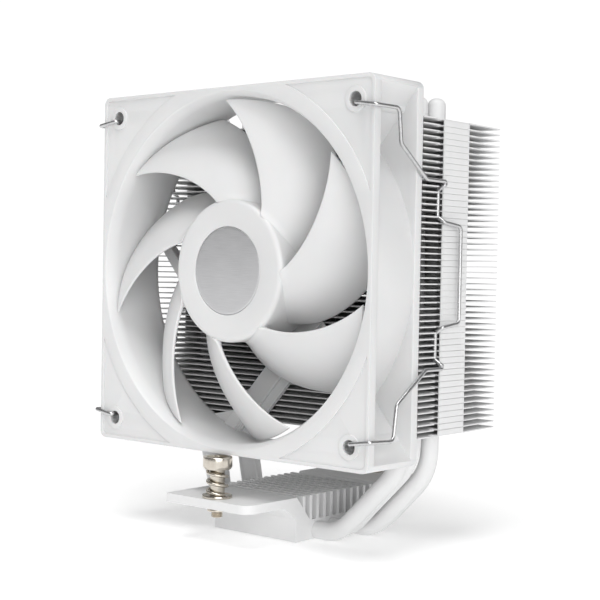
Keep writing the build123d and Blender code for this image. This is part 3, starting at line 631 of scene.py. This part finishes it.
# -------------------------------------------------------------- spring screws
def boolean_cut(ob, cutter):
    mod = ob.modifiers.new("Cut", "BOOLEAN")
    mod.operation = "DIFFERENCE"
    mod.solver = "EXACT"
    mod.object = cutter
    bpy.context.view_layer.update()
    me = bpy.data.meshes.new_from_object(ob.evaluated_get(bpy.context.evaluated_depsgraph_get()))
    ob.modifiers.remove(mod)
    old = ob.data
    ob.data = me
    bpy.data.meshes.remove(old)
    bpy.data.objects.remove(cutter)
    me.polygons.foreach_set("use_smooth", [True] * len(me.polygons))
    me.set_sharp_from_angle(angle=math.radians(32))


for side, y in (("front", -41.0), ("rear", 41.0)):
    screw = Shape()
    prof = [(0.001, 8.4), (1.45, 8.4)]
    z = 8.75
    while z < 10.3:
        prof += [(1.62, z - 0.16), (1.95, z)]
        z += 0.5
    prof += [(1.6, 10.5), (1.6, 11.2), (1.95, 11.2), (1.95, 11.55), (2.35, 11.6), (2.45, 11.72), (2.45, 24.1),
             (2.55, 24.28), (4.15, 24.3), (4.3, 24.34), (4.75, 25.0), (4.85, 25.2), (4.85, 27.95), (4.78, 28.2),
             (4.6, 28.36), (4.35, 28.4), (3.75, 28.4), (3.6, 28.36), (3.3, 27.85), (3.15, 27.8), (0.001, 27.8)]
    screw.lathe(prof, (0, y, 0), "z", segs=96)
    body = side + "_screw"
    ob = screw.make("spring_screw_%s_turned" % side, "nickel", body, ["spring_screw_" + side], sharp=32)
    cut = Shape()
    cross = [(-2.3, -0.55), (-0.55, -0.55), (-0.55, -2.3), (0.55, -2.3), (0.55, -0.55), (2.3, -0.55), (2.3, 0.55),
             (0.55, 0.55), (0.55, 2.3), (-0.55, 2.3), (-0.55, 0.55), (-2.3, 0.55)]
    verts = [(x, y + w, z) for z in (26.1, 28.2) for x, w in cross]
    k = len(cross)
    cut.add(verts, [tuple(range(k - 1, -1, -1)), tuple(range(k, 2 * k))]
            + [(i, (i + 1) % k, k + (i + 1) % k, k + i) for i in range(k)])
    me = bpy.data.meshes.new("cutter")
    me.from_pydata([(a * MM, b * MM, c * MM) for a, b, c in cut.v], [], cut.f)
    cutter = bpy.data.objects.new("cutter", me)
    scene.collection.objects.link(cutter)
    boolean_cut(ob, cutter)

    ring_clip = Shape()
    gap = math.radians(36)
    loop = []
    for k in range(45):
        a = -pi / 2 + gap + (2 * pi - 2 * gap) * k / 44
        loop.append((3.25 * math.cos(a), 3.25 * math.sin(a)))
    for k in range(45):
        a = -pi / 2 - gap + (-(2 * pi) + 2 * gap) * k / 44
        loop.append((1.66 * math.cos(a), 1.66 * math.sin(a)))
    if side == "front":
        loop = [(-a, -b) for a, b in loop]
    plate(ring_clip, [loop], 10.56, 11.14, 0.08, turn=FLAT_TURN, origin=(0, y, 0))
    ring_clip.make("ring_clip_%s_stamped" % side, "nickel", side + "_press", ["ring_clip_" + side], sharp=35)

    washer = Shape()
    washer.lathe([(2.66, 14.93), (2.72, 14.91), (4.75, 14.91), (4.88, 14.98), (4.9, 15.1), (4.9, 15.72), (4.84, 15.82),
                  (4.72, 15.84), (4.6, 15.76), (4.35, 15.48), (4.2, 15.42), (2.72, 15.41), (2.66, 15.38)],
                 (0, y, 0), "z", segs=80)
    washer.make("washer_%s_pressed" % side, "nickel", "heatsink", ["washer_" + side], sharp=35)

    coil = []
    z0, z1, turns = 14.9 + 0.51 + 0.55 + 0.02, 24.3 - 0.55 - 0.05, 2.5
    for k in range(int(turns * 40) + 1):
        t = k / (turns * 40)
        a = -2 * pi * turns * t + (0 if side == "front" else pi)
        coil.append((3.25 * math.cos(a), y + 3.25 * math.sin(a), z0 + (z1 - z0) * t))
    spring = Shape()
    spring.tube(coil, 0.55, sides=16, start=[(0.12, 0.35), (0.05, 0.48)], end=[(0.05, 0.48), (0.12, 0.35)])
    ob = spring.make("spring_%s_coil" % side, "nickel", "heatsink", ["spring_" + side], sharp=45)
    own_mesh(ob)

# ------------------------------------------------------------------ fan clips
POINTS = [
    (53.2, 3.2, 51.4), (53.2, -0.95, 51.4), (61.3, -0.95, 50.2),
    (61.3, 10.5, 50.3), (61.3, 11.8, 39.6), (61.3, 25.5, 29.7),
    (61.3, 38.0, 29.6), (61.3, 35.5, 28.4), (58.75, 35.5, 26.8),
    (58.75, 35.5, 18.4), (61.3, 35.9, 16.6), (62.0, 44.0, 15.5),
    (62.0, 44.0, -15.5), (61.3, 35.9, -16.8), (58.75, 35.5, -18.6),
    (58.75, 35.5, -27.0), (61.3, 35.5, -28.6), (61.3, 38.4, -29.9),
    (61.3, 26.9, -29.9), (61.3, 12.2, -39.8), (61.3, 10.6, -50.8),
    (61.3, -0.95, -50.2), (53.2, -0.95, -51.4), (53.2, 3.2, -51.4),
]
RADII = [0.9, 0.9, 2.0, 2.0, 2.0, 0.66, 0.8, 0.8, 0.8, 0.9, 1.6, 1.6, 0.9, 0.8, 0.8, 0.8, 0.66, 2.0, 2.0, 2.0, 0.9, 0.9]
for side, sx in (("right", 1), ("left", -1)):
    path = [(sx * x, y + FY, z + FZ) for x, y, z in rounded_path(POINTS, RADII, step=14)]
    wire = Shape()
    wire.tube(path, 0.65, sides=16, start=[(-0.02, 0.45), (-0.0, 0.6)], end=None)
    wire.make("fan_clip_%s_wire" % side, "spring_wire", "fan", ["fan_clip_" + side], sharp=50)

# ------------------------------------------------- CAD nodes that stay as made
slots = {s["node"]: s["material_slot"] for s in frame["record"]["subparts"]}
for node, ob in frame["nodes"].items():
    if ob.hide_render:
        continue
    ob.data.materials.clear()
    ob.data.materials.append(M[slots[node]])

# ------------------------------------------------------------ floor and light
floor_mat = bpy.data.materials.new("floor_paper")
floor_mat.use_nodes = True
nt = floor_mat.node_tree
p = nt.nodes["Principled BSDF"]
p.inputs["Base Color"].default_value = (0.94, 0.94, 0.94, 1)
p.inputs["Roughness"].default_value = 0.85
socket(p, "Specular IOR Level", "Specular").default_value = 0.1
socket(p, "Emission Color").default_value = (1, 1, 1, 1)
socket(p, "Emission Strength").default_value = 0.32
me = bpy.data.meshes.new("floor")
me.from_pydata([(-6, -6, 0), (6, -6, 0), (6, 6, 0), (-6, 6, 0)], [], [(0, 1, 2, 3)])
me.materials.append(floor_mat)
floor = bpy.data.objects.new("floor", me)
floor.location = (0, 0, -0.0003)
scene.collection.objects.link(floor)

world = bpy.data.worlds.new("studio")
scene.world = world
world.use_nodes = True
bg = world.node_tree.nodes["Background"]
bg.inputs["Color"].default_value = (1, 1, 1, 1)
bg.inputs["Strength"].default_value = 0.25

# a white sweep all round, which the light passes through
dome_mat = bpy.data.materials.new("backdrop_paper")
dome_mat.use_nodes = True
nt = dome_mat.node_tree
nt.nodes.clear()
em = nt.nodes.new("ShaderNodeEmission")
em.inputs["Color"].default_value = (1, 1, 1, 1)
em.inputs["Strength"].default_value = 1.05
nt.links.new(em.outputs["Emission"], nt.nodes.new("ShaderNodeOutputMaterial").inputs["Surface"])
dome_mat.cycles.emission_sampling = "NONE"
bm = bmesh.new()
bmesh.ops.create_uvsphere(bm, u_segments=48, v_segments=24, radius=5.5)
me = bpy.data.meshes.new("backdrop")
bm.to_mesh(me)
bm.free()
me.materials.append(dome_mat)
dome = bpy.data.objects.new("backdrop", me)
scene.collection.objects.link(dome)
dome.visible_diffuse = False
dome.visible_glossy = False
dome.visible_transmission = False
dome.visible_shadow = False


def sun(name, toward, strength, angle):
    li = bpy.data.lights.new(name, "SUN")
    li.energy = strength
    li.angle = math.radians(angle)
    ob = bpy.data.objects.new(name, li)
    ob.rotation_euler = (-Vector(toward)).to_track_quat("-Z", "Y").to_euler()
    scene.collection.objects.link(ob)
    return ob


sun("key_above", (0.10, -0.30, 0.95), 1.6, 40)
sun("soft_front", (0.80, -0.58, 0.18), 1.75, 50)

cam = bpy.data.cameras.new("camera")
cam.sensor_width = 36.0
cam.lens = 80.2312
cam.clip_start = 0.01
cam_ob = bpy.data.objects.new("camera", cam)
cam_ob.matrix_world = Matrix((
    (0.7617615951850936, -0.030527382868935516, 0.6471378145312133, 0.30118195835),
    (0.6476010919862446, 0.0077826982654508325, -0.7619397976650994, -0.35565601334),
    (0.018223549579742034, 0.9995036310603791, 0.025698127126938898, 0.09102379202),
    (0, 0, 0, 1)))
scene.collection.objects.link(cam_ob)
scene.camera = cam_ob
scene.view_settings.view_transform = "Standard"
scene.view_settings.look = "None"
scene.view_settings.exposure = 0.0
scene.view_settings.gamma = 1.0
